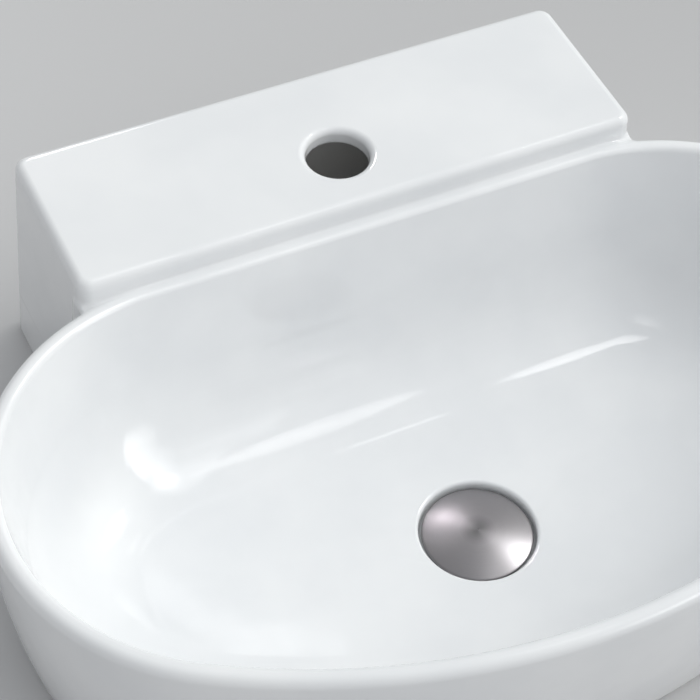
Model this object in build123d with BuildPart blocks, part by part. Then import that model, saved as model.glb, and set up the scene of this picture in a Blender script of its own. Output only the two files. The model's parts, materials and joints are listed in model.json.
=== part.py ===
from build123d import *
from math import asin, atan2, degrees, pi, radians, sin, sqrt, tan
import os

os.makedirs("parts", exist_ok=True)

# Countertop basin with a raised tap deck behind the bowl and a push-open waste, in millimetres.
# The origin is where the axis of the waste meets the counter: X runs along the bowl,
# Y back towards the wall, Z up.

# Bowl rim, seen from above: a straight back, two round ends and a long bowed front
rim_half_width = 254.0
end_radius = 125.0
bowl_back_y = 149.0
bowl_front_y = -137.0
rim_height = 118.0
rim_width = 9.5
rim_outer_round = 5.5
rim_inner_round = 3.0

# Bowl walls and floor
wall_lean = 12.0
floor_height = 19.5
bowl_curve = 60.0
floor_margin = 4.0
foot_inset = 14.0
foot_round = 2.0
belly_inset = 3.8
shell = 9.5

# Tap deck
deck_width = 326.0
deck_depth = 102.5
deck_lap = 1.5
deck_step = 12.0
deck_flare = 6.0
deck_corner = 8.0
deck_round = 5.0
deck_plate = 10.0
deck_wall = 10.0
web_drop = 3.0
groove_round = 3.0
tap_hole_setback = 38.5
tap_hole_diameter = 35.0
tap_hole_round = 4.0

# Drain in the bowl's floor
recess_depth = 8.5
recess_round = 2.0
boss_width = 10.4
boss_clearance = 1.0

# Waste body: a flanged tube with an inch-and-a-quarter pipe thread
thread_diameter = 41.91
hole_clearance = 2.045
tube_wall = 2.5
tail_length = 62.0
flange_thickness = 1.6
flange_clearance = 2.1
flange_round = 0.7
seat_chamfer = 2.0
gasket_thickness = 1.0
gasket_setback = 1.0
neck_depth = 0.8
neck_height = 4.0
neck_gap = 2.0
hub_diameter = 14.0
hub_height = 6.0
rib_thickness = 3.0

# Washers and backnut under the bowl
washer_diameter = 60.0
washer_thickness = 4.0
slip_thickness = 1.5
washer_clearance = 0.5
backnut_flats = 52.0
backnut_height = 10.0
backnut_chamfer = 2.0
thread_gap = 0.05

# Plug: a domed cap hemmed over a moulded carrier
cap_diameter = 60.0
cap_clearance = 1.7
cap_rise = 4.0
cap_sheet = 0.8
cap_edge = 1.0
cap_edge_round = 0.7
hem_width = 1.6
bond_gap = 0.1
seal_width = 4.0
seal_inset = 0.75
seal_gap = 0.3
seal_stand = 1.1
seal_seat_depth = 0.7
carrier_boss_diameter = 12.0
carrier_boss_length = 5.2
stem_diameter = 6.0
stem_grip = 6.0
stem_head_height = 2.5
locknut_flats = 10.0
locknut_height = 3.0

# Latch cartridge in the waste body
plug_travel = 8.5
slide_gap = 0.3
rest_gap = 0.8
bush_flange = 1.0
bush_depth = 3.5
housing_wall = 2.1
housing_floor = 2.0
housing_flats = 18.0
housing_hex_height = 5.0
spigot_diameter = 8.0
spring_diameter = 9.4
spring_wire = 0.9
spring_length = 12.0
spring_turns = 6
spring_seat_gap = 0.05

# Bowl outline: the front arc meets both end arcs in a tangent
end_centre_x = rim_half_width - end_radius
end_centre_y = bowl_back_y - end_radius
reach = end_centre_y - bowl_front_y
front_radius = (end_centre_x**2 + reach**2 - end_radius**2) / (2 * (reach - end_radius))
front_centre_y = bowl_front_y + front_radius
tangent_angle = degrees(atan2(end_centre_y - front_centre_y, end_centre_x))

# Bowl section, measured inwards from the rim's outer edge
floor_corner = rim_width + (rim_height - floor_height) * tan(radians(wall_lean))
core_inset = floor_corner + bowl_curve * tan(radians(45 - wall_lean / 2)) + floor_margin

# Deck places, with the bowl's water space cut up past the deck
deck_height = rim_height + deck_step
cavity_top = deck_height + rim_width
deck_front_y = bowl_back_y - deck_lap
deck_back_y = deck_front_y + deck_depth
deck_hollow_front_y = bowl_back_y + deck_wall - rim_width
web_top = rim_height - web_drop
tap_hole_y = deck_front_y + tap_hole_setback

# Groove between rim and deck: an arc tangent to the rim's round and to the deck's front
rim_round_y = bowl_back_y - rim_outer_round
rim_round_z = rim_height - rim_outer_round
groove_y = deck_front_y - groove_round
groove_z = rim_round_z + sqrt((rim_outer_round + groove_round) ** 2 - (groove_y - rim_round_y) ** 2)
groove_angle = degrees(atan2(rim_round_z - groove_z, rim_round_y - groove_y))
groove_reach = min(end_centre_x, deck_width / 2 - deck_corner)

# Radii about the axis of the waste
thread_radius = thread_diameter / 2
bore_radius = thread_radius - tube_wall
cap_radius = cap_diameter / 2
recess_radius = cap_radius + cap_clearance
flange_radius = recess_radius - flange_clearance
drain_hole_radius = thread_radius + hole_clearance
boss_radius = recess_radius + boss_width
seal_inner_radius = bore_radius + seat_chamfer + seal_inset
seal_outer_radius = seal_inner_radius + seal_width
stem_radius = stem_diameter / 2
stem_hole_radius = stem_radius + thread_gap
spigot_radius = spigot_diameter / 2
housing_bore_radius = (spring_diameter + spring_wire) / 2 + slide_gap
housing_radius = housing_bore_radius + housing_wall
stem_head_radius = housing_bore_radius - slide_gap
dome_radius = (cap_radius**2 + cap_rise**2) / (2 * cap_rise)

# Heights under the bowl, from the drain's boss downwards
washer_z = boss_clearance - washer_thickness
slip_z = washer_z - slip_thickness
backnut_z = slip_z - backnut_height
neck_top_z = backnut_z - neck_gap
neck_z = neck_top_z - neck_height

# Heights along the axis of the waste, from the recess upwards
recess_z = floor_height - recess_depth
flange_z = recess_z + gasket_thickness
flange_top_z = flange_z + flange_thickness
seal_z = flange_top_z + seal_gap
carrier_z = seal_z + seal_stand
cap_edge_z = carrier_z + cap_edge
cap_top_z = cap_edge_z + cap_rise
dome_centre_z = cap_top_z - dome_radius

# Heights from the carrier downwards
carrier_boss_z = carrier_z - carrier_boss_length
locknut_z = carrier_boss_z - locknut_height
bush_top_z = locknut_z - rest_gap
housing_top_z = bush_top_z - bush_flange
bush_z = housing_top_z - bush_depth
stem_head_top_z = bush_z - slide_gap - plug_travel
stem_head_z = stem_head_top_z - stem_head_height
spring_seat_z = stem_head_z - spring_length
housing_z = spring_seat_z - housing_floor
hub_z = housing_z - hub_height


def outline(inset):
    """Lines of the bowl's outline, drawn in from the rim's outer edge by an inset."""
    back_y = bowl_back_y - inset
    left_end = (-end_centre_x, end_centre_y)
    right_end = (end_centre_x, end_centre_y)
    Line((0, back_y), (end_centre_x, back_y))
    CenterArc(right_end, end_radius - inset, 90, tangent_angle - 90)
    CenterArc((0, front_centre_y), front_radius - inset, tangent_angle, -180 - 2 * tangent_angle)
    CenterArc(left_end, end_radius - inset, 180 - tangent_angle, tangent_angle - 90)
    Line((-end_centre_x, back_y), (0, back_y))


def outer_wall():
    """Line of the bowl's outer wall in the section, from the foot to the rim."""
    ThreePointArc((foot_inset, 0), (belly_inset, rim_height / 2), (0, rim_height))


def deck_outline(top, inset):
    """Lines of the deck seen from the front: its sides flare towards the counter."""
    foot = deck_width / 2 + deck_flare - inset
    shoulder = foot - deck_flare * top / deck_height
    Polyline((-foot, 0), (foot, 0), (shoulder, top), (-shoulder, top), close=True)


def dome(edge_radius, depth):
    """Line of the cap's dome from its edge to the axis, at a depth below the outer face."""
    radius = dome_radius - depth
    half_angle = degrees(asin(edge_radius / radius))
    CenterArc((0, dome_centre_z), radius, 90 - half_angle, half_angle)


def dome_height(edge_radius, depth):
    """Height of the cap's dome at a radius, at a depth below the outer face."""
    return dome_centre_z + ((dome_radius - depth) ** 2 - edge_radius**2) ** 0.5


def circles_at(edges, radius, height):
    """The circular edges of one radius at one height."""
    level = edges.filter_by(GeomType.CIRCLE).filter_by_position(Axis.Z, height - 0.01, height + 0.01)
    return level.filter_by(lambda edge: abs(edge.radius - radius) < 0.01)


# The section plane stands at the middle of the bowl's back, facing along the rim
section = Plane(origin=(0, bowl_back_y, 0), x_dir=(0, -1, 0), z_dir=(-1, 0, 0))
with BuildLine() as rim_path:
    outline(0)

# Water space of the bowl: a swept wall that curves into a level floor
with BuildPart() as bowl_cavity:
    with BuildSketch(section) as cavity_section:
        with BuildLine():
            Polyline(
                (rim_width, cavity_top),
                (core_inset, cavity_top),
                (core_inset, floor_height),
                (floor_corner, floor_height),
                (rim_width, rim_height),
                close=True,
            )
        make_face()
        corner = cavity_section.vertices().sort_by_distance((floor_corner, floor_height, 0))[0]
        fillet(corner, bowl_curve)
    sweep(path=rim_path.wire())
    with BuildSketch(Plane.XY.offset(floor_height)):
        with BuildLine():
            outline(core_inset)
        make_face()
    extrude(amount=cavity_top - floor_height)

# Space under the bowl, open to the counter, with the drain's boss left standing in it
with BuildPart() as bowl_hollow:
    with BuildSketch(section) as hollow_section:
        with BuildLine():
            outer_wall()
            Polyline(
                (0, rim_height),
                (rim_width, rim_height),
                (floor_corner, floor_height),
                (core_inset + shell, floor_height),
                (core_inset + shell, -shell),
                (foot_inset, -shell),
                (foot_inset, 0),
            )
        make_face()
        corner = hollow_section.vertices().sort_by_distance((floor_corner, floor_height, 0))[0]
        fillet(corner, bowl_curve)
        offset(amount=-shell, mode=Mode.REPLACE)
    sweep(path=rim_path.wire())
    with BuildSketch():
        with BuildLine():
            outline(core_inset)
        make_face()
    extrude(amount=floor_height - shell)
    with BuildSketch(Plane.XY.offset(boss_clearance)):
        Circle(boss_radius)
    extrude(amount=floor_height, mode=Mode.SUBTRACT)

# Bowl body with its rounded rim, solid underneath until it is hollowed with the deck
with BuildPart() as bowl:
    with BuildSketch(section) as bowl_section:
        with BuildLine():
            outer_wall()
            Polyline((0, rim_height), (core_inset, rim_height), (core_inset, 0), (foot_inset, 0))
        make_face()
        corner = bowl_section.vertices().sort_by_distance((foot_inset, 0, 0))[0]
        fillet(corner, foot_round)
    sweep(path=rim_path.wire())
    with BuildSketch():
        with BuildLine():
            outline(core_inset)
        make_face()
    extrude(amount=rim_height)
    add(bowl_cavity.part, mode=Mode.SUBTRACT)
    rim = bowl.faces().filter_by(Axis.Z).sort_by(Axis.Z)[-1]
    fillet(rim.outer_wire().edges(), rim_outer_round)
    rim = bowl.faces().filter_by(Axis.Z).sort_by(Axis.Z)[-1]
    fillet(rim.inner_wires()[0].edges(), rim_inner_round)

# Tap deck: a block with leaning sides and rounded edges
with BuildPart() as deck:
    with BuildSketch(Plane.XZ.offset(-deck_front_y)):
        with BuildLine():
            deck_outline(deck_height, 0)
        make_face()
    extrude(amount=-deck_depth)
    fillet(deck.edges().filter_by(lambda edge: abs(edge.tangent_at(0.5).Z) > 0.9), deck_corner)
    fillet(deck.faces().sort_by(Axis.Z)[-1].edges(), deck_round)

# Space under the tap deck, open to the counter
with BuildPart() as deck_hollow:
    with BuildSketch(Plane.XZ.offset(-deck_hollow_front_y)):
        with BuildLine():
            deck_outline(deck_height - deck_plate, deck_wall)
        make_face()
    extrude(amount=deck_hollow_front_y - deck_back_y + deck_wall)
    fillet(deck_hollow.edges().filter_by(lambda edge: abs(edge.tangent_at(0.5).Z) > 0.9), deck_corner)
    fillet(deck_hollow.faces().sort_by(Axis.Z)[-1].edges(), deck_round)

# The ceramic: bowl and deck cast as one, joined by a web just below the rim
with BuildPart() as basin:
    add(bowl.part)
    add(deck.part)
    with BuildSketch(Plane.XZ.offset(-end_centre_y)):
        with BuildLine():
            deck_outline(web_top, 0)
        make_face()
    extrude(amount=end_centre_y - deck_front_y - deck_corner)
    add(bowl_cavity.part, mode=Mode.SUBTRACT)
    with BuildSketch(Plane.YZ.offset(-groove_reach)):
        with BuildLine():
            arc = CenterArc((groove_y, groove_z), groove_round, 0, groove_angle)
            Polyline(
                arc @ 1,
                ((arc @ 1).X, rim_round_z),
                (deck_front_y + deck_lap, rim_round_z),
                (deck_front_y + deck_lap, groove_z),
                arc @ 0,
            )
        make_face()
    extrude(amount=2 * groove_reach)
    add(bowl_hollow.part, mode=Mode.SUBTRACT)
    add(deck_hollow.part, mode=Mode.SUBTRACT)
    with Locations((0, 0, floor_height)):
        CounterBoreHole(drain_hole_radius, recess_radius, recess_depth)
    with Locations((0, tap_hole_y, deck_height)):
        Hole(tap_hole_diameter / 2)
    fillet(circles_at(basin.edges(), tap_hole_diameter / 2, deck_height), tap_hole_round)
    fillet(circles_at(basin.edges(), recess_radius, floor_height), recess_round)
basin.part.label = "basin"
export_step(basin.part, "parts/basin.step")

# Gasket between the flange of the waste and the recess
with BuildPart() as flange_gasket:
    with BuildSketch(Plane.XY.offset(recess_z)):
        Circle(flange_radius - gasket_setback)
        Circle(thread_radius + washer_clearance, mode=Mode.SUBTRACT)
    extrude(amount=gasket_thickness)
flange_gasket.part.label = "flange_gasket"
export_step(flange_gasket.part, "parts/flange_gasket.step")

# Waste body: flange, tube with a plain neck between its two threaded lengths,
# and a four-armed spider with the hub that holds the cartridge
with BuildPart() as waste_body:
    with BuildSketch(Plane.XZ):
        with BuildLine():
            Polyline(
                (bore_radius, -tail_length),
                (thread_radius, -tail_length),
                (thread_radius, neck_z),
                (thread_radius - neck_depth, neck_z),
                (thread_radius - neck_depth, neck_top_z),
                (thread_radius, neck_top_z),
                (thread_radius, flange_z),
                (flange_radius, flange_z),
                (flange_radius, flange_top_z),
                (bore_radius + seat_chamfer, flange_top_z),
                (bore_radius, flange_top_z - seat_chamfer),
                close=True,
            )
        make_face()
    revolve(axis=Axis.Z)
    fillet(circles_at(waste_body.edges(), flange_radius, flange_top_z), flange_round)
    chamfer(circles_at(waste_body.edges(), thread_radius, -tail_length), tube_wall / 2)
    with BuildSketch(Plane.XY.offset(hub_z)):
        Circle(hub_diameter / 2)
        Rectangle(2 * bore_radius + tube_wall, rib_thickness)
        Rectangle(rib_thickness, 2 * bore_radius + tube_wall)
        Circle(spigot_radius + thread_gap, mode=Mode.SUBTRACT)
    extrude(amount=hub_height)
waste_body.part.label = "waste_body"
export_step(waste_body.part, "parts/waste_body.step")

# Rubber washer against the boss under the bowl
with BuildPart() as lower_washer:
    with BuildSketch(Plane.XY.offset(washer_z)):
        Circle(washer_diameter / 2)
        Circle(thread_radius + washer_clearance, mode=Mode.SUBTRACT)
    extrude(amount=washer_thickness)
lower_washer.part.label = "lower_washer"
export_step(lower_washer.part, "parts/lower_washer.step")

# Hard washer that lets the backnut turn without dragging the rubber
with BuildPart() as slip_washer:
    with BuildSketch(Plane.XY.offset(slip_z)):
        Circle(washer_diameter / 2)
        Circle(thread_radius + washer_clearance, mode=Mode.SUBTRACT)
    extrude(amount=slip_thickness)
slip_washer.part.label = "slip_washer"
export_step(slip_washer.part, "parts/slip_washer.step")

# Hexagonal backnut with chamfered corners
backnut_corner_radius = backnut_flats / 2 / sin(radians(60))
with BuildPart() as backnut:
    with BuildSketch(Plane.XY.offset(backnut_z)):
        RegularPolygon(backnut_corner_radius, 6)
    extrude(amount=backnut_height)
    with BuildSketch(Plane.XZ):
        with BuildLine():
            Polyline(
                (thread_radius + thread_gap, backnut_z),
                (backnut_corner_radius - backnut_chamfer, backnut_z),
                (backnut_corner_radius, backnut_z + backnut_chamfer / 2),
                (backnut_corner_radius, slip_z - backnut_chamfer / 2),
                (backnut_corner_radius - backnut_chamfer, slip_z),
                (thread_radius + thread_gap, slip_z),
                close=True,
            )
        make_face()
    revolve(axis=Axis.Z, mode=Mode.INTERSECT)
backnut.part.label = "backnut"
export_step(backnut.part, "parts/backnut.step")

# Domed sheet cap, hemmed under the edge of its carrier
cap_inner_radius = cap_radius - cap_sheet
hem_z = carrier_z - cap_sheet
with BuildPart() as cap_shell:
    with BuildSketch(Plane.XZ):
        with BuildLine():
            dome(cap_radius, 0)
            Line((0, cap_top_z), (0, cap_top_z - cap_sheet))
            dome(cap_inner_radius, cap_sheet)
            Polyline(
                (cap_inner_radius, dome_height(cap_inner_radius, cap_sheet)),
                (cap_inner_radius, carrier_z),
                (cap_radius - hem_width, carrier_z),
                (cap_radius - hem_width, hem_z),
                (cap_radius, hem_z),
                (cap_radius, cap_edge_z),
            )
        make_face()
    revolve(axis=Axis.Z)
    fillet(circles_at(cap_shell.edges(), cap_radius, cap_edge_z), cap_edge_round)
    fillet(circles_at(cap_shell.edges(), cap_radius, hem_z), cap_edge_round)
cap_shell.part.label = "cap_shell"
export_step(cap_shell.part, "parts/cap_shell.step")

# Moulded carrier that fills the cap, with a seat for the seal and a boss for the stem
carrier_radius = cap_inner_radius - bond_gap
stem_top_z = carrier_boss_z + stem_grip
with BuildPart() as cap_carrier:
    with BuildSketch(Plane.XZ):
        with BuildLine():
            dome(carrier_radius, cap_sheet + bond_gap)
            Polyline(
                (0, dome_height(0, cap_sheet + bond_gap)),
                (0, stem_top_z),
                (stem_hole_radius, stem_top_z),
                (stem_hole_radius, carrier_boss_z),
                (carrier_boss_diameter / 2, carrier_boss_z),
                (carrier_boss_diameter / 2, carrier_z),
                (seal_inner_radius, carrier_z),
                (seal_inner_radius, carrier_z + seal_seat_depth),
                (seal_outer_radius, carrier_z + seal_seat_depth),
                (seal_outer_radius, carrier_z),
                (carrier_radius, carrier_z),
                (carrier_radius, dome_height(carrier_radius, cap_sheet + bond_gap)),
            )
        make_face()
    revolve(axis=Axis.Z)
cap_carrier.part.label = "cap_carrier"
export_step(cap_carrier.part, "parts/cap_carrier.step")

# Rubber ring seal in the carrier's seat, clear of the flange by the seal gap
with BuildPart() as cap_seal:
    with BuildSketch(Plane.XY.offset(seal_z)):
        Circle(seal_outer_radius - thread_gap)
        Circle(seal_inner_radius + thread_gap, mode=Mode.SUBTRACT)
    extrude(amount=seal_stand + seal_seat_depth)
    chamfer(cap_seal.faces().sort_by(Axis.Z)[0].edges(), seal_gap)
cap_seal.part.label = "cap_seal"
export_step(cap_seal.part, "parts/cap_seal.step")

# Stem: a screw in the carrier's boss, with a head that slides in the cartridge
with BuildPart() as plug_stem:
    with BuildSketch(Plane.XY.offset(stem_head_z)):
        Circle(stem_head_radius)
    extrude(amount=stem_head_height)
    with BuildSketch(Plane.XY.offset(stem_head_z)):
        Circle(stem_radius)
    extrude(amount=stem_top_z - stem_head_z)
    chamfer(plug_stem.faces().sort_by(Axis.Z)[-1].edges(), stem_radius / 4)
plug_stem.part.label = "plug_stem"
export_step(plug_stem.part, "parts/plug_stem.step")

# Locknut that holds the cap's height on the stem
with BuildPart() as stem_locknut:
    with BuildSketch(Plane.XY.offset(locknut_z)):
        RegularPolygon(locknut_flats / 2 / sin(radians(60)), 6)
        Circle(stem_hole_radius, mode=Mode.SUBTRACT)
    extrude(amount=locknut_height)
stem_locknut.part.label = "stem_locknut"
export_step(stem_locknut.part, "parts/stem_locknut.step")

# Cartridge housing: a bored cup with a spanner hexagon, screwed into the hub by its spigot
with BuildPart() as cartridge_housing:
    with BuildSketch(Plane.XY.offset(housing_z)):
        Circle(housing_radius)
    extrude(amount=housing_top_z - housing_z)
    with BuildSketch(Plane.XY.offset(housing_z)):
        RegularPolygon(housing_flats / 2 / sin(radians(60)), 6)
    extrude(amount=housing_hex_height)
    with BuildSketch(Plane.XY.offset(hub_z)):
        Circle(spigot_radius)
    extrude(amount=hub_height)
    with BuildSketch(Plane.XY.offset(spring_seat_z)):
        Circle(housing_bore_radius)
    extrude(amount=housing_top_z - spring_seat_z, mode=Mode.SUBTRACT)
cartridge_housing.part.label = "cartridge_housing"
export_step(cartridge_housing.part, "parts/cartridge_housing.step")

# Flanged bush that guides the stem and stops its head when the plug is up
with BuildPart() as cartridge_bush:
    with BuildSketch(Plane.XY.offset(bush_z)):
        Circle(housing_bore_radius - thread_gap)
    extrude(amount=bush_depth)
    with BuildSketch(Plane.XY.offset(housing_top_z)):
        Circle(housing_radius)
    extrude(amount=bush_flange)
    with BuildSketch(Plane.XY.offset(bush_z)):
        Circle(stem_radius + slide_gap)
    extrude(amount=bush_depth + bush_flange, mode=Mode.SUBTRACT)
cartridge_bush.part.label = "cartridge_bush"
export_step(cartridge_bush.part, "parts/cartridge_bush.step")

# Spring under the stem's head, as it stands with the plug down.
# Its wire is drawn eight-sided, with the same area as the round wire.
spring_wire_radius = spring_wire / 2 * sqrt(pi / 4 / sin(radians(45)))
spring_rise = spring_length - spring_wire - 2 * spring_seat_gap
spring_start_z = spring_seat_z + spring_wire / 2 + spring_seat_gap
with BuildPart() as cartridge_spring:
    with BuildLine(Plane.XY.offset(spring_start_z)) as coil:
        Helix(spring_rise / spring_turns, spring_rise, spring_diameter / 2)
    with BuildSketch(Plane(origin=coil.line @ 0, z_dir=coil.line % 0)):
        RegularPolygon(spring_wire_radius, 8)
    sweep()
cartridge_spring.part.label = "cartridge_spring"
export_step(cartridge_spring.part, "parts/cartridge_spring.step")
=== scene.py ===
import json
import math

import bpy
import numpy as np
from mathutils import Matrix, Vector


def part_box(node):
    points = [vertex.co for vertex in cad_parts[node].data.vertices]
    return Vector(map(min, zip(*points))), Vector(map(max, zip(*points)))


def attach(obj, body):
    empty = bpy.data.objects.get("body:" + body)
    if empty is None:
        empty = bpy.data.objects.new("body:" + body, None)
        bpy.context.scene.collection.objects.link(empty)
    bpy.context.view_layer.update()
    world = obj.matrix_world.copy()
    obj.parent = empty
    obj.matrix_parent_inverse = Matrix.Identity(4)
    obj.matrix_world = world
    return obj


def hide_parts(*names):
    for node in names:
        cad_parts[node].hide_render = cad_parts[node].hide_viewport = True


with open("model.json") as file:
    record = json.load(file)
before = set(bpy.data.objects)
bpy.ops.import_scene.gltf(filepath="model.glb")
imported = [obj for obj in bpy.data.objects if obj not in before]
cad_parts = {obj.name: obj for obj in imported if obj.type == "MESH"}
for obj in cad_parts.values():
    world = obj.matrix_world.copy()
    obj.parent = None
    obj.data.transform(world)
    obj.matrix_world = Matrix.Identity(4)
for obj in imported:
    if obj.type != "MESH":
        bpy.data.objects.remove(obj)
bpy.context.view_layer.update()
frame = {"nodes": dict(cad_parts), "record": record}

# Countertop basin with a raised tap deck behind the bowl and a push-open waste, in metres.
# The origin is where the axis of the waste meets the counter: X runs along the bowl,
# Y back towards the wall, Z up.

# Bowl, with the sizes that its outline and its section are drawn from
rim_half_width = 0.254
end_radius = 0.125
bowl_back_y = 0.149
bowl_front_y = -0.137
rim_height = 0.118
rim_width = 0.0095
rim_outer_round = 0.0055
rim_inner_round = 0.003
wall_lean = math.radians(12)
floor_height = 0.0195
bowl_curve = 0.060
foot_inset = 0.014
foot_round = 0.0015
belly_inset = 0.0038
shell = 0.0095

# Tap deck, with the web and the groove between it and the bowl
deck_foot_half_width = 0.169
deck_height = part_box("basin")[1].z
deck_front_y = 0.1475
deck_back_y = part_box("basin")[1].y
deck_flare = 0.006
deck_corner = 0.008
deck_round = 0.005
deck_wall = 0.010
deck_front_wall = 0.002
web_top = 0.115
web_edge = 0.002
groove_round = 0.003
tap_hole_y = 0.186
tap_hole_radius = 0.0175
tap_hole_round = 0.004

# Drain in the bowl's floor, and the edges that the slip softens under the bowl
recess_z = 0.011
recess_radius = 0.0317
recess_round = 0.002
recess_corner = 0.0015
drain_hole_radius = 0.023
boss_z = 0.001
boss_radius = 0.0421
hidden_round = 0.0015
sharp_round = 0.001

# Spacing of the ceramic's mesh, and the triangles that it keeps
net_cell = 0.0013
net_margin = 0.006
net_block = 8
kept_triangles = 185000
blocks_at_once = 2000
block_reach = 0.9
least_slope = 0.05
underside_depth = 0.001

# Waste and plug
waste_low, waste_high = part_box("waste_body")
cap_low, cap_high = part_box("cap_shell")
carrier_boss = 0.0052
carrier_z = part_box("cap_carrier")[0].z + carrier_boss
thread_radius = 0.020955
thread_pitch = 0.0254 / 11
thread_depth = 0.0012
thread_steps = 8
thread_half_groove = 0.325
thread_flank = 0.25
thread_foot = 0.0003
thread_runout = 0.001
bore_radius = 0.018455
seat_chamfer = 0.002
flange_underside = waste_high.z - 0.0016
flange_round = 0.0007
neck_depth = 0.0008
neck_low = -0.0205
neck_high = -0.0165
hub_low = -0.0298
hub_height = 0.006
hub_radius = 0.007
hub_bore_radius = 0.00405
rib_half_width = 0.0015
rib_overlap = 0.001
machined_round = 0.0002
machined_angle = 30
cap_dome_rise = 0.004
cap_sheet = 0.0008
cap_edge_round = 0.0007
cap_edge_reach = 0.8 * cap_edge_round
cap_edge_drop = 0.85 * cap_edge_round
cap_pinhole = 0.00001
hem_width = 0.0016

# Counter: the hole for the waste, rings of its top, and its thickness
counter_hole = 0.035
counter_rings = (9.0, 1.2, 0.3)
counter_depth = 0.030

# Lamp in the hollow under the deck
hollow_lamp_size = 0.06
hollow_lamp_watts = 0.004
hollow_lamp_at = Vector((0, tap_hole_y + deck_wall, deck_height - 2.5 * deck_wall))

# Camera, fitted to the edges and ellipses in the view
view_size = 700
focal_pixels = 2230.84
sensor_width = 0.036
camera_at = Vector((-0.3967, -0.5801, 0.9771))
camera_turn = 0.494
camera_dip = 0.864
camera_roll = 0.069


def outline_centres():
    """Centres of the bowl's end arcs and of its front arc, which meets both in a tangent."""
    end_x = rim_half_width - end_radius
    end_y = bowl_back_y - end_radius
    reach = end_y - bowl_front_y
    front_radius = (end_x**2 + reach**2 - end_radius**2) / (2 * (reach - end_radius))
    return end_x, end_y, front_radius, bowl_front_y + front_radius


end_x, end_y, front_radius, front_y = outline_centres()
end_tangent = math.atan2(end_y - front_y, end_x)


def circle_through(a, b, c):
    """Centre and radius of the circle through three points."""
    d = 2 * (a[0] * (b[1] - c[1]) + b[0] * (c[1] - a[1]) + c[0] * (a[1] - b[1]))
    aa, bb, cc = (p[0] ** 2 + p[1] ** 2 for p in (a, b, c))
    x = (aa * (b[1] - c[1]) + bb * (c[1] - a[1]) + cc * (a[1] - b[1])) / d
    y = (aa * (c[0] - b[0]) + bb * (a[0] - c[0]) + cc * (b[0] - a[0])) / d
    return x, y, math.hypot(a[0] - x, a[1] - y)


wall_arc = circle_through((foot_inset, 0), (belly_inset, rim_height / 2), (0, rim_height))


# Every solid below is a distance in metres from its surface, and is under zero inside


def both(a, b, radius, cosine=0.0):
    """What two solids share, its edge rounded. The cosine is that of their faces' normals."""
    s, t = a + radius, b + radius
    in_edge = (s - t * cosine > 0) & (t - s * cosine > 0)
    squared = (s * s + t * t - 2 * s * t * cosine) / (1 - cosine * cosine)
    return np.where(in_edge, np.sqrt(np.maximum(squared, 0)) - radius, np.maximum(a, b))


def either(a, b, radius):
    """Two solids together, with a cove where they meet."""
    return -both(-a, -b, radius)


def less(a, b, radius):
    """The first solid with the second cut out of it, its new edge rounded."""
    return both(a, -b, radius)


def inset(x, y):
    """Distance inwards from the bowl's outline, seen from above."""
    x = np.abs(x)
    across, back = x - end_x, y - end_y
    below_tangent = math.cos(end_tangent) * back - math.sin(end_tangent) * across > 0
    in_end = np.where(back > 0, across > 0, below_tangent)
    end = end_radius - np.hypot(across, back)
    front = front_radius - np.hypot(x, y - front_y)
    return np.where(in_end, end, np.minimum(bowl_back_y - y, front))


def block(x, y, z, half_width, front, back, top, corner, edge):
    """A block with leaning sides, round corners and a round top edge."""
    lean = deck_flare / deck_height
    side = (np.abs(x) - half_width + lean * z) / math.hypot(1, lean)
    ends = np.maximum(front - y, y - back)
    return both(both(side, ends, corner), z - top, edge)


def ceramic_parts(x, y, z):
    """The whole ceramic, and the open space under it."""
    depth = inset(x, y)
    wall = np.hypot(depth - wall_arc[0], z - wall_arc[1]) - wall_arc[2]
    lean_in = rim_width + (rim_height - z) * math.tan(wall_lean)
    inner_wall = (lean_in - depth) * math.cos(wall_lean)
    cavity = both(inner_wall, floor_height - z, bowl_curve, math.sin(wall_lean))
    bowl = both(wall, z - rim_height, rim_outer_round)
    half = deck_foot_half_width
    deck = block(x, y, z, half, deck_front_y, deck_back_y, deck_height, deck_corner, deck_round)
    web = block(x, y, z, half, end_y, deck_front_y + deck_corner, web_top, web_edge, web_edge)
    body = either(either(bowl, web, groove_round), deck, groove_round)
    body = less(both(body, -z, foot_round), cavity, rim_inner_round)

    radius = np.hypot(x, y)
    boss = np.maximum(radius - boss_radius, boss_z - z)
    under_bowl = less(both(wall + shell, shell - cavity, hidden_round), boss, hidden_round)
    front, back = deck_front_y + deck_front_wall, deck_back_y - deck_wall
    half, ceiling = half - deck_wall, deck_height - deck_wall
    under_deck = block(x, y, z, half, front, back, ceiling, deck_corner, deck_round)
    under = np.minimum(under_bowl, under_deck)
    body = less(less(body, under_bowl, hidden_round), under_deck, hidden_round)

    recess = both(radius - recess_radius, recess_z - z, recess_corner)
    body = less(body, recess, recess_round)
    body = less(body, radius - drain_hole_radius, sharp_round)
    tap_hole = np.hypot(x, y - tap_hole_y) - tap_hole_radius
    lip = z > deck_height - deck_wall / 2
    body = np.where(lip, less(body, tap_hole, tap_hole_round), less(body, tap_hole, sharp_round))
    return body, under


def ceramic(x, y, z):
    """The whole ceramic as one solid."""
    return ceramic_parts(x, y, z)[0]


def slope(solid, points, step=2e-5):
    """Gradient of a solid's distance at points, which is the outward normal at its surface."""
    result = np.empty_like(points)
    for axis in range(3):
        ahead, behind = points.copy(), points.copy()
        ahead[:, axis] += step
        behind[:, axis] -= step
        result[:, axis] = (solid(*ahead.T) - solid(*behind.T)) / (2 * step)
    return result


def settle(solid, points, rounds, limit):
    """Points moved onto the surface, by no more than a limit at each round."""
    for _ in range(rounds):
        normal = slope(solid, points)
        steepness = np.maximum((normal * normal).sum(1), least_slope)
        move = (solid(*points.T) / steepness)[:, None] * normal
        points = points - np.clip(move, -limit, limit)
    return points


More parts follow.
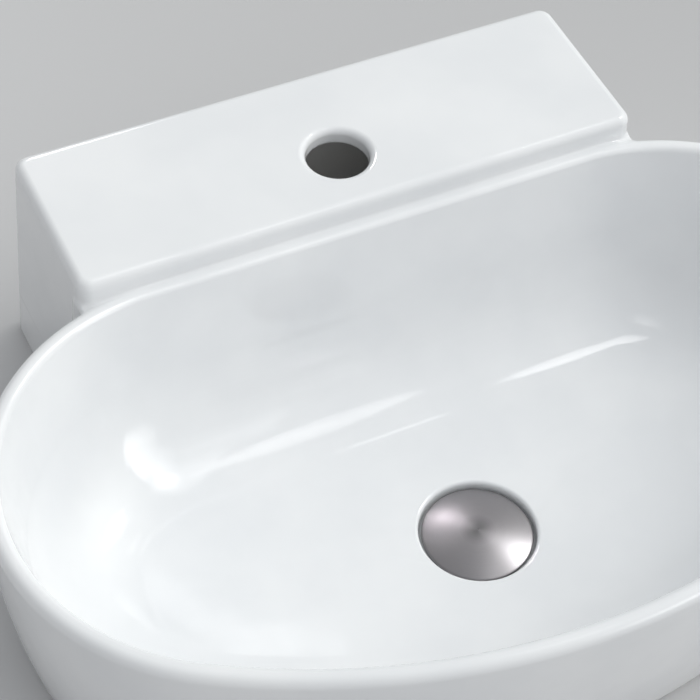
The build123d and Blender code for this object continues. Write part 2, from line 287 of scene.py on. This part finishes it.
def sample(solid, low, high, cell):
    """Distances on a grid, taken in full only in the blocks that the surface passes through."""
    size = cell * net_block
    counts = np.ceil((high - low) / size).astype(int)
    centres = [low[i] + (np.arange(counts[i]) + 0.5) * size for i in range(3)]
    values = solid(*np.meshgrid(*centres, indexing="ij"))
    near = np.argwhere(np.abs(values) < size * block_reach)
    for axis in range(3):
        values = np.repeat(values, net_block, axis)
    steps = np.indices((net_block,) * 3).reshape(3, -1).T
    for blocks in np.array_split(near, 1 + len(near) // blocks_at_once):
        at = (blocks[:, None, :] * net_block + steps).reshape(-1, 3)
        values[tuple(at.T)] = solid(*(low + at * cell).T)
    return values


def shifted(cells, *moves):
    """Cells moved along axes, each move an axis and a number of cells."""
    result = cells.copy()
    for axis, distance in moves:
        result[:, axis] += distance
    return result


def net_points(values, cells):
    """For each cell, the mean of the points where its edges cross the surface, in cells."""
    total, hits = np.zeros((len(cells), 3)), np.zeros(len(cells))
    for axis in range(3):
        u, v = (axis + 1) % 3, (axis + 2) % 3
        for du in (0, 1):
            for dv in (0, 1):
                start = shifted(cells, (u, du), (v, dv))
                a, b = values[tuple(start.T)], values[tuple(shifted(start, (axis, 1)).T)]
                crosses = (a < 0) != (b < 0)
                point = start.astype(float)
                point[:, axis] += a / np.where(crosses, a - b, 1)
                total[crosses] += point[crosses]
                hits += crosses
    return total / hits[:, None]


def net_quads(inside, number):
    """A quad of four cells around each grid edge that crosses the surface, facing outwards."""
    quads = []
    for axis in range(3):
        u, v = (axis + 1) % 3, (axis + 2) % 3
        change = np.diff(inside.astype(np.int8), axis=axis) != 0
        edges = np.argwhere(change)
        ring = [shifted(edges, (u, du), (v, dv)) for du, dv in ((-1, -1), (0, -1), (0, 0), (-1, 0))]
        quad = np.stack([number[tuple(cell.T)] for cell in ring], 1)
        turned = ~inside[tuple(edges.T)]
        quad[turned] = quad[turned][:, ::-1]
        quads.append(quad)
    return np.concatenate(quads)


def surface_net(solid, low, high, cell):
    """Points and quads that cover a solid's surface with one point in each cell it passes."""
    values = sample(solid, low, high, cell)
    inside = values < 0
    counts = [size - 1 for size in inside.shape]
    corners = np.zeros(counts, np.int8)
    for i, j, k in np.ndindex(2, 2, 2):
        corners += inside[i:i + counts[0], j:j + counts[1], k:k + counts[2]]
    cells = np.argwhere((corners > 0) & (corners < 8))
    number = np.full(counts, -1, np.int32)
    number[tuple(cells.T)] = np.arange(len(cells))
    return low + net_points(values, cells) * cell, net_quads(inside, number)


def mesh_object(name, points, faces):
    """A new object from points and faces, shaded smooth."""
    mesh = bpy.data.meshes.new(name)
    mesh.from_pydata(np.asarray(points).tolist(), [], np.asarray(faces).tolist())
    mesh.shade_smooth()
    piece = bpy.data.objects.new(name, mesh)
    bpy.context.scene.collection.objects.link(piece)
    return piece


def apply_modifiers(piece):
    """The object's mesh with its modifiers in it."""
    graph = bpy.context.evaluated_depsgraph_get()
    mesh = bpy.data.meshes.new_from_object(piece.evaluated_get(graph))
    piece.modifiers.clear()
    piece.data = mesh


def point_array(mesh):
    """The mesh's points as an array."""
    points = np.empty(len(mesh.vertices) * 3, np.float32)
    mesh.vertices.foreach_get("co", points)
    return points.reshape(-1, 3).astype(float)


def thin_out(piece, points, ratio):
    """Fewer triangles everywhere but on the bowl's rim, whose small rounds need them."""
    x, y, z = points.T
    on_rim = (inset(x, y) < rim_width + rim_inner_round + net_cell) & (z > rim_height - rim_outer_round)
    group = piece.vertex_groups.new(name="thinned")
    group.add(np.flatnonzero(~on_rim).tolist(), 1, "REPLACE")
    thin = piece.modifiers.new("thin", "DECIMATE")
    thin.vertex_group = group.name
    thin.ratio = ratio
    apply_modifiers(piece)
    piece.vertex_groups.clear()


def build_ceramic():
    """Bowl and deck in one casting, with every edge as soft as glaze leaves it."""
    low, high = (np.array(corner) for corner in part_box("basin"))
    points, quads = surface_net(ceramic, low - net_margin, high + net_margin, net_cell)
    points = settle(ceramic, points, 3, net_cell / 2)
    piece = mesh_object("ceramic", points, quads)
    triangles = 2 * len(quads)
    if triangles > kept_triangles:
        thin_out(piece, points, kept_triangles / triangles)
    mesh = piece.data
    points = settle(ceramic, point_array(mesh), 2, net_cell / 2)
    mesh.vertices.foreach_set("co", points.ravel())
    normals = slope(ceramic, points)
    normals /= np.linalg.norm(normals, axis=1, keepdims=True)
    mesh.shade_smooth()
    mesh.normals_split_custom_set_from_vertices(normals)
    hidden = mesh.attributes.new("underside", "FLOAT", "POINT")
    depth = np.abs(ceramic_parts(*points.T)[1])
    hidden.data.foreach_set("value", np.clip(1 - depth / underside_depth, 0, 1))
    return piece


def arc(centre, radius, start, end, steps):
    """Points of an arc in a profile of radius and height, from one angle in degrees to another."""
    angles = np.radians(np.linspace(start, end, steps + 1))
    return [(centre[0] + radius * math.cos(a), centre[1] + radius * math.sin(a)) for a in angles]


def lathe(profile, segments):
    """Points and quads of a closed profile turned about Z. A point may give its radius by angle."""
    angles = np.arange(segments) * 2 * math.pi / segments
    rings = []
    for radius, z in profile:
        r = radius(angles) if callable(radius) else np.full(segments, radius)
        rings.append(np.stack([r * np.cos(angles), r * np.sin(angles), np.full(segments, z)], 1))
    i = np.arange(len(profile))[:, None] * segments
    i_next = np.roll(i, -1)
    j = np.arange(segments)[None, :]
    j_next = (j + 1) % segments
    quads = np.stack([i + j, i + j_next, i_next + j_next, i_next + j], -1).reshape(-1, 4)
    return np.concatenate(rings), quads


def joined(*shapes):
    """Several point and face lists as one."""
    points, faces, count = [], [], 0
    for shape_points, shape_faces in shapes:
        points.append(np.asarray(shape_points, float))
        faces += [[count + corner for corner in face] for face in shape_faces]
        count += len(shape_points)
    return np.concatenate(points), faces


def thread_rows(low, high):
    """Rows of a screw thread's outer wall, from its low end to its high one."""
    rows = []
    for z in np.arange(low, high, thread_pitch / thread_steps):
        fade = min(1, (z - low) / thread_pitch, (high - z) / thread_pitch)

        def radius(angles, z=z, fade=fade):
            turn = (z / thread_pitch - angles / (2 * math.pi)) % 1
            groove = np.clip((thread_half_groove - np.abs(turn - 0.5)) / thread_flank, 0, 1)
            return thread_radius - thread_depth * fade * groove

        rows.append((radius, z))
    return rows


def rib(angle):
    """One arm of the spider, from inside the hub's wall to inside the tube's."""
    start, end = hub_bore_radius + rib_overlap, bore_radius + rib_overlap
    sides = (-rib_half_width, rib_half_width)
    heights = (hub_low, hub_low + hub_height)
    corners = [(r, s, z) for r in (start, end) for s in sides for z in heights]
    turn = Matrix.Rotation(angle, 3, "Z")
    faces = [(0, 1, 3, 2), (4, 6, 7, 5), (0, 4, 5, 1), (2, 3, 7, 6), (0, 2, 6, 4), (1, 5, 7, 3)]
    return [turn @ Vector(corner) for corner in corners], faces


def build_waste():
    """Flanged tube with its thread, the plain neck in it and the spider for the cartridge."""
    flange_radius = waste_high.x
    edge = (flange_radius - flange_round, waste_high.z - flange_round)
    neck_radius = thread_radius - neck_depth
    bottom = waste_low.z
    profile = [(bore_radius, bottom), (thread_radius - thread_depth, bottom)]
    profile += thread_rows(bottom + thread_foot, neck_low)
    profile += [(neck_radius, neck_low), (neck_radius, neck_high)]
    profile += thread_rows(neck_high, flange_underside - thread_runout)
    profile += [(thread_radius, flange_underside), (flange_radius, flange_underside)]
    profile += arc(edge, flange_round, 0, 90, 5)
    profile += [(bore_radius + seat_chamfer, waste_high.z), (bore_radius, waste_high.z - seat_chamfer)]
    hub_top = hub_low + hub_height
    hub = [(hub_bore_radius, hub_low), (hub_radius, hub_low)]
    hub += [(hub_radius, hub_top), (hub_bore_radius, hub_top)]
    ribs = [rib(i * math.pi / 2) for i in range(4)]
    points, faces = joined(lathe(profile, 96), lathe(hub, 48), *ribs)
    piece = mesh_object("waste_tube", points, faces)
    soften(piece, machined_round, machined_angle)
    return piece


def build_cap():
    """Pressed steel cap: a shallow dome with a round edge, hemmed under its carrier."""
    radius, top = cap_high.x, cap_high.z
    dome_radius = (radius**2 + cap_dome_rise**2) / (2 * cap_dome_rise)
    dome_z = top - dome_radius
    hem_z = cap_low.z
    pinhole = math.degrees(cap_pinhole / dome_radius)
    tilt = math.degrees(math.asin((radius - cap_edge_reach) / dome_radius))
    edge_radius, edge_z = radius - cap_edge_round, top - cap_dome_rise - cap_edge_drop
    inner = radius - cap_sheet
    profile = arc((0, dome_z), dome_radius, 90 - pinhole, 90 - tilt, 40)
    profile += arc((edge_radius, edge_z), cap_edge_round, 80 - tilt, 0, 6)
    profile += arc((edge_radius, hem_z + cap_edge_round), cap_edge_round, 0, -90, 6)
    profile += [(radius - hem_width, hem_z), (radius - hem_width, carrier_z), (inner, carrier_z)]
    inner_tilt = math.degrees(math.asin(inner / (dome_radius - cap_sheet)))
    profile += arc((0, dome_z), dome_radius - cap_sheet, 90 - inner_tilt, 90 - pinhole, 12)
    return mesh_object("cap", *lathe(profile, 192))


def soften(piece, width, angle):
    """A small round on every edge sharper than an angle in degrees."""
    bevel = piece.modifiers.new("round", "BEVEL")
    bevel.width = width
    bevel.segments = 2
    bevel.limit_method = "ANGLE"
    bevel.angle_limit = math.radians(angle)
    bevel.harden_normals = True
    apply_modifiers(piece)


def operate(tree, kind, operation, *values):
    """Outputs of a new maths node whose inputs are numbers, vectors or other nodes' sockets."""
    node = tree.nodes.new(kind)
    node.operation = operation
    for socket, value in zip(node.inputs, values):
        if isinstance(value, bpy.types.NodeSocket):
            tree.links.new(value, socket)
        else:
            socket.default_value = value
    return node.outputs


class Surface:
    """A material with one Principled shader, and short ways to build its nodes."""

    def __init__(self, name):
        self.material = bpy.data.materials.new(name)
        self.material.use_nodes = True
        self.tree = self.material.node_tree
        self.nodes = self.tree.nodes
        self.links = self.tree.links
        self.shader = self.nodes["Principled BSDF"]
        self.place = self.nodes.new("ShaderNodeNewGeometry").outputs["Position"]

    def set(self, name, value):
        """One of the shader's own values."""
        self.shader.inputs[name].default_value = value

    def noise(self, scale, detail=2.0, roughness=0.5):
        """Noise in space, in cycles a metre."""
        node = self.nodes.new("ShaderNodeTexNoise")
        node.inputs["Scale"].default_value = scale
        node.inputs["Detail"].default_value = detail
        node.inputs["Roughness"].default_value = roughness
        self.links.new(self.place, node.inputs["Vector"])
        return node.outputs["Fac"]

    def lines(self, scale, detail, along):
        """Noise that changes along one value only."""
        node = self.nodes.new("ShaderNodeTexNoise")
        node.noise_dimensions = "1D"
        node.inputs["Scale"].default_value = scale
        node.inputs["Detail"].default_value = detail
        self.links.new(along, node.inputs["W"])
        return node.outputs["Fac"]

    def spread(self, value, low, high, to_low=0.0, to_high=1.0):
        """A value stretched from one range to another, and held inside it."""
        node = self.nodes.new("ShaderNodeMapRange")
        node.clamp = True
        ends = {"From Min": low, "From Max": high, "To Min": to_low, "To Max": to_high}
        for name, number in ends.items():
            node.inputs[name].default_value = number
        self.links.new(value, node.inputs["Value"])
        return node.outputs["Result"]

    def maths(self, operation, *values):
        """The result of a maths node."""
        return operate(self.tree, "ShaderNodeMath", operation, *values)[0]

    def mix(self, factor, a, b):
        """A colour between two others."""
        node = self.nodes.new("ShaderNodeMix")
        node.data_type = "RGBA"
        for socket, value in ((node.inputs[0], factor), (node.inputs[6], a), (node.inputs[7], b)):
            if isinstance(value, tuple):
                socket.default_value = (*value, 1)
            else:
                self.links.new(value, socket)
        return node.outputs[2]

    def axes(self):
        """X, Y and Z of the place on the surface."""
        node = self.nodes.new("ShaderNodeSeparateXYZ")
        self.links.new(self.place, node.inputs[0])
        return node.outputs

    def from_axis(self):
        """Distance from the Z axis."""
        x, y, _ = self.axes()
        y_squared = self.maths("MULTIPLY", y, y)
        return self.maths("SQRT", self.maths("MULTIPLY_ADD", x, x, y_squared))

    def colour(self, value):
        """Link the base colour."""
        self.links.new(value, self.shader.inputs["Base Color"])

    def rough(self, value):
        """Link the roughness."""
        self.links.new(value, self.shader.inputs["Roughness"])

    def bump(self, height, distance):
        """Relief of a depth in metres, over any relief that is already there."""
        node = self.nodes.new("ShaderNodeBump")
        node.inputs["Distance"].default_value = distance
        node.inputs["Strength"].default_value = 1
        self.links.new(height, node.inputs["Height"])
        before = self.shader.inputs["Normal"].links
        if before:
            self.links.new(before[0].from_socket, node.inputs["Normal"])
        self.links.new(node.outputs["Normal"], self.shader.inputs["Normal"])


def glaze_material():
    """White glaze over fired clay, with bare clay on the ground foot and a thin coat underneath."""
    glaze = Surface("glaze")
    glaze.set("IOR", 1.52)
    cloud = glaze.spread(glaze.noise(14, 3), 0.35, 0.65)
    white = glaze.mix(cloud, (0.85, 0.862, 0.872), (0.80, 0.815, 0.83))
    grain = glaze.spread(glaze.noise(2600, 2), 0.35, 0.65)
    clay = glaze.mix(grain, (0.62, 0.60, 0.565), (0.74, 0.725, 0.69))
    thin_coat = glaze.mix(grain, (0.74, 0.74, 0.725), (0.80, 0.80, 0.79))
    hidden = glaze.nodes.new("ShaderNodeAttribute")
    hidden.attribute_name = "underside"
    ragged = glaze.maths("MULTIPLY_ADD", grain, 0.0003, glaze.axes()[2])
    bare = glaze.spread(ragged, 0.0004, 0.0011, 1, 0)
    coated = glaze.mix(hidden.outputs["Fac"], white, thin_coat)
    glaze.colour(glaze.mix(bare, coated, clay))
    gloss = glaze.spread(glaze.noise(38, 2), 0.3, 0.7, 0.05, 0.085)
    dull_coat = glaze.maths("MULTIPLY", hidden.outputs["Fac"], 0.30)
    dull_clay = glaze.maths("MULTIPLY", bare, 0.75)
    glaze.rough(glaze.maths("ADD", gloss, glaze.maths("MAXIMUM", dull_coat, dull_clay)))
    glaze.bump(glaze.noise(55, 1), 0.00007)
    glaze.bump(glaze.maths("MULTIPLY", grain, bare), 0.00008)
    return glaze.material


def steel_material():
    """Stainless sheet, brushed round and round, so that each highlight opens into a fan. Its middle is
    darker: a painted dark reflection.
    """
    steel = Surface("steel")
    steel.set("Metallic", 1.0)
    steel.set("Anisotropic", 0.35)
    steel.set("Anisotropic Rotation", 0.25)
    tangent = steel.nodes.new("ShaderNodeTangent")
    tangent.direction_type = "RADIAL"
    tangent.axis = "Z"
    steel.links.new(tangent.outputs["Tangent"], steel.shader.inputs["Tangent"])
    radius = steel.from_axis()
    rings = steel.lines(5200, 3, radius)
    sheet = steel.mix(steel.spread(rings, 0.3, 0.7), (0.27, 0.26, 0.27), (0.34, 0.33, 0.34))
    # Base colour darkens towards the axis, within 10 mm of it: a painted dark reflection at the cap's
    # middle.
    steel.colour(steel.mix(steel.spread(radius, 0.0, 0.010), (0.16, 0.158, 0.162), sheet))
    steel.rough(steel.spread(rings, 0.3, 0.7, 0.29, 0.35))
    steel.bump(rings, 0.000004)
    return steel.material


def metal_material(name, low, high, gloss_low, gloss_high, scale):
    """Metal whose colour and gloss drift a little, with fine turning lines across its axis."""
    metal = Surface(name)
    metal.set("Metallic", 1.0)
    drift = metal.spread(metal.noise(scale, 4, 0.6), 0.3, 0.7)
    metal.colour(metal.mix(drift, low, high))
    metal.rough(metal.spread(metal.noise(scale * 3, 3), 0.3, 0.7, gloss_low, gloss_high))
    metal.bump(metal.lines(9000, 2, metal.axes()[2]), 0.000004)
    return metal.material


def moulded_material(name, low, high, gloss_low, gloss_high, grain_scale, grain_depth):
    """Moulded rubber or plastic: a faint bloom over a fine mould grain."""
    moulded = Surface(name)
    bloom = moulded.spread(moulded.noise(120, 4, 0.6), 0.3, 0.7)
    moulded.colour(moulded.mix(bloom, low, high))
    moulded.rough(moulded.spread(moulded.noise(420, 2), 0.3, 0.7, gloss_low, gloss_high))
    moulded.bump(moulded.noise(grain_scale, 3), grain_depth)
    return moulded.material


def wire_material():
    """Drawn spring wire, with marks along its length."""
    wire = Surface("wire")
    wire.set("Metallic", 1.0)
    wire.set("Anisotropic", 0.4)
    marks = wire.noise(3000, 2)
    wire.colour(wire.mix(wire.spread(marks, 0.3, 0.7), (0.50, 0.50, 0.52), (0.64, 0.64, 0.66)))
    wire.rough(wire.spread(marks, 0.3, 0.7, 0.18, 0.32))
    return wire.material


def dress_frame():
    """Materials of the CAD nodes, and the pieces that stand for three of them."""
    chrome = (0.68, 0.68, 0.69), (0.76, 0.76, 0.775)
    brass = (0.58, 0.42, 0.20), (0.72, 0.56, 0.30)
    rubber = (0.030, 0.030, 0.032), (0.055, 0.055, 0.058)
    black = (0.085, 0.086, 0.09), (0.12, 0.121, 0.126)
    ivory = (0.78, 0.775, 0.75), (0.84, 0.835, 0.81)
    materials = {
        "glaze": glaze_material(),
        "steel": steel_material(),
        "brass": metal_material("chrome", *chrome, 0.05, 0.10, 60),
        "raw_brass": metal_material("raw_brass", *brass, 0.24, 0.40, 180),
        "rubber": moulded_material("rubber", *rubber, 0.55, 0.75, 5000, 0.00002),
        "carrier": moulded_material("carrier", *black, 0.42, 0.55, 3500, 0.00002),
        "acetal": moulded_material("acetal", *ivory, 0.32, 0.42, 4000, 0.00001),
        "spring": wire_material(),
    }
    for part in frame["record"]["subparts"]:
        mesh = frame["nodes"][part["node"]].data
        mesh.materials.clear()
        mesh.materials.append(materials[part["material_slot"]])
    stands_for = (
        (build_ceramic(), "basin", "basin", "glaze"),
        (build_waste(), "waste_body", "basin", "brass"),
        (build_cap(), "cap_shell", "plug", "steel"),
    )
    for piece, node, body, slot in stands_for:
        piece.data.materials.append(materials[slot])
        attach(piece, body)
        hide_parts(node)


def build_counter():
    """Pale counter with the hole that the waste goes through, its colour painted lighter to the left
    and darker to the right as a falloff of light.
    """
    profile = [(counter_hole, -counter_depth), (counter_rings[0], -counter_depth)]
    profile += [(ring, 0) for ring in counter_rings] + [(counter_hole, 0)]
    counter = mesh_object("counter", *lathe(profile, 96))
    counter.data.shade_flat()
    surface = Surface("counter")
    # Painted light: the colour runs from lighter at the left to darker at the right, with a faint
    # random mottle, as a painted falloff of light.
    across = surface.spread(surface.axes()[0], -0.45, 0.40)
    painted_light_falloff = surface.maths("MULTIPLY_ADD", surface.noise(1.6, 2), 0.1, across)
    surface.colour(surface.mix(painted_light_falloff, (0.62, 0.62, 0.625), (0.49, 0.49, 0.495)))
    surface.set("Roughness", 0.6)
    surface.bump(surface.noise(900, 2), 0.00003)
    counter.data.materials.append(surface.material)


def bearing(azimuth, elevation):
    """Direction from an azimuth and an elevation in degrees."""
    level, turn = math.cos(math.radians(elevation)), math.radians(azimuth)
    return Vector((level * math.cos(turn), level * math.sin(turn), math.sin(math.radians(elevation))))


def reflector(name, place, aim, along, size, level, spread, shape="RECTANGLE", colour=(1, 1, 1)):
    """A narrow lamp that shows in glossy surfaces only, as bright as a level of white on its axis."""
    half = math.radians(spread) / 2
    focus = 1 - half / math.tan(half)
    lamp = bpy.data.lights.new(name, "AREA")
    lamp.shape = shape
    lamp.size, lamp.size_y = size
    lamp.energy = level * math.pi * size[0] * size[1] * focus
    lamp.spread = math.radians(spread)
    lamp.color = colour
    back = (Vector(place) - Vector(aim)).normalized()
    side = Vector(along).cross(back).normalized()
    axes = Matrix((side, back.cross(side), back)).transposed().to_4x4()
    holder = bpy.data.objects.new(name, lamp)
    holder.matrix_world = Matrix.Translation(place) @ axes
    holder.visible_diffuse = False
    holder.visible_camera = False
    bpy.context.scene.collection.objects.link(holder)


def hollow_light():
    """A dim lamp under the deck, without which the inside of the tap hole is nearly black."""
    lamp = bpy.data.lights.new("hollow", "AREA")
    lamp.size = hollow_lamp_size
    lamp.energy = hollow_lamp_watts
    holder = bpy.data.objects.new("hollow", lamp)
    holder.location = hollow_lamp_at
    holder.visible_camera = False
    bpy.context.scene.collection.objects.link(holder)


def surround(lobes, ambient, mirrored):
    """World light: an even level with soft lobes, and the share of it that glossy surfaces show."""
    world = bpy.data.worlds.new("surround")
    bpy.context.scene.world = world
    world.use_nodes = True
    tree = world.node_tree
    toward = tree.nodes.new("ShaderNodeTexCoord").outputs["Generated"]
    total = ambient
    for azimuth, elevation, spread, level, colour in lobes:
        middle = bearing(azimuth, elevation)
        facing = operate(tree, "ShaderNodeVectorMath", "DOT_PRODUCT", toward, middle)["Value"]
        peak = math.log(level) - spread
        fall = operate(tree, "ShaderNodeMath", "MULTIPLY_ADD", facing, spread, peak)[0]
        glow = operate(tree, "ShaderNodeMath", "EXPONENT", fall)[0]
        total = operate(tree, "ShaderNodeVectorMath", "MULTIPLY_ADD", glow, colour, total)[0]
    background = tree.nodes["Background"]
    tree.links.new(total, background.inputs["Color"])
    is_glossy = tree.nodes.new("ShaderNodeLightPath").outputs["Is Glossy Ray"]
    dimmed = operate(tree, "ShaderNodeMath", "MULTIPLY_ADD", is_glossy, mirrored - 1, 1)[0]
    tree.links.new(dimmed, background.inputs["Strength"])


def light_studio():
    """Soft light from the right and above, and narrow lamps that show in the glaze and the cap."""
    warm, cool = (1.0, 0.985, 0.945), (0.945, 0.975, 1.0)
    lobes = (
        (0, 42, 20, 2.2, warm),
        (0, 38, 8, 0.55, warm),
        (40, 30, 8, 0.93, (0.98, 1.0, 1.0)),
        (315, 38, 6, 1.0, cool),
        (0, 90, 5, 0.76, cool),
        (135, 45, 5, 0.07, cool),
        (240, 6, 8, 0.67, (1.0, 0.98, 1.0)),
        (330, 12, 8, 0.26, (1.0, 0.90, 0.70)),
    )
    surround(lobes, (0.213, 0.217, 0.220), 0.5)
    show_in_left_end()
    show_along_floor()
    show_in_front_left()
    show_in_cap()
    hollow_light()


def show_in_left_end():
    """The broad highlight low in the bowl's left end."""
    reflector("blob_low", (-0.105, 0.083, 0.282), (-0.248, 0.109, 0.030), (-0.84, -0.32, 0.45),
              (0.270, 0.101), 6.6, 45.7)
    reflector("blob_mid", (-0.037, -0.032, 0.272), (-0.211, 0.106, 0.030), (-0.80, -0.54, 0.27),
              (0.174, 0.088), 5.4, 39.7)
    reflector("blob_high", (0.050, -0.203, 0.224), (-0.194, 0.088, 0.030), (0.04, 0.58, 0.81),
              (0.112, 0.252), 5.3, 38)


def show_along_floor():
    """The streaks where the floor turns up into the back wall."""
    reflector("streak_left", (0.294, -0.090, 1.171), (-0.055, 0.092, 0.024), (-0.93, -0.28, 0.24),
              (0.355, 0.203), 2.6, 28, "ELLIPSE")
    reflector("streak_thin", (0.371, 0.496, 1.092), (-0.002, 0.076, 0.020), (-0.15, -0.90, 0.40),
              (0.110, 0.060), 2.5, 28)
    reflector("streak_right", (0.491, 0.184, 0.948), (0.097, 0.054, 0.024), (0.08, -0.99, 0.11),
              (0.130, 0.150), 4.2, 28, "ELLIPSE")


def show_in_front_left():
    """The arcs where the floor turns up into the front wall, at the left."""
    reflector("arc_left", (0.026, 0.252, 0.328), (-0.190, 0.007, 0.027), (-0.87, 0.23, 0.43),
              (0.024, 0.147), 1.6, 26.4)
    reflector("arc_low", (-0.020, 0.555, 0.294), (-0.173, 0.045, 0.020), (0.33, -0.52, 0.79),
              (0.087, 0.149), 1.3, 37.3)
    reflector("arc_mid", (0.190, 0.612, 1.079), (-0.143, -0.112, 0.019), (0.87, -0.48, 0.05),
              (0.018, 0.125), 3, 46.7)
    reflector("arc_right", (-0.029, 0.370, 0.557), (-0.041, 0.006, 0.020), (0.76, -0.55, 0.36),
              (0.020, 0.222), 5, 29.2)


def show_in_cap():
    """The two fans of light on the cap."""
    pink = (1.0, 0.93, 0.97)
    cap_middle, upright = (0, 0, 0.02), (0, 0, 1)
    reflector("cap_right", (0.60, 0.10, 0.80), cap_middle, upright, (0.32, 0.32), 30, 18)
    reflector("cap_left", (0.14, 0.78, 0.63), cap_middle, upright, (0.30, 0.30), 46, 16, colour=pink)


def place_camera():
    """The camera of the photograph's view."""
    data = bpy.data.cameras.new("camera")
    data.sensor_width = sensor_width * 1000
    data.lens = sensor_width * 1000 * focal_pixels / view_size
    camera = bpy.data.objects.new("camera", data)
    turn = Matrix.Rotation(-camera_turn, 4, "Z")
    dip = Matrix.Rotation(math.pi / 2 - camera_dip, 4, "X")
    roll = Matrix.Rotation(camera_roll, 4, "Z")
    camera.matrix_world = Matrix.Translation(camera_at) @ turn @ dip @ roll
    bpy.context.scene.collection.objects.link(camera)
    bpy.context.scene.camera = camera


dress_frame()
build_counter()
light_studio()
place_camera()
bpy.context.scene.view_settings.view_transform = "Standard"
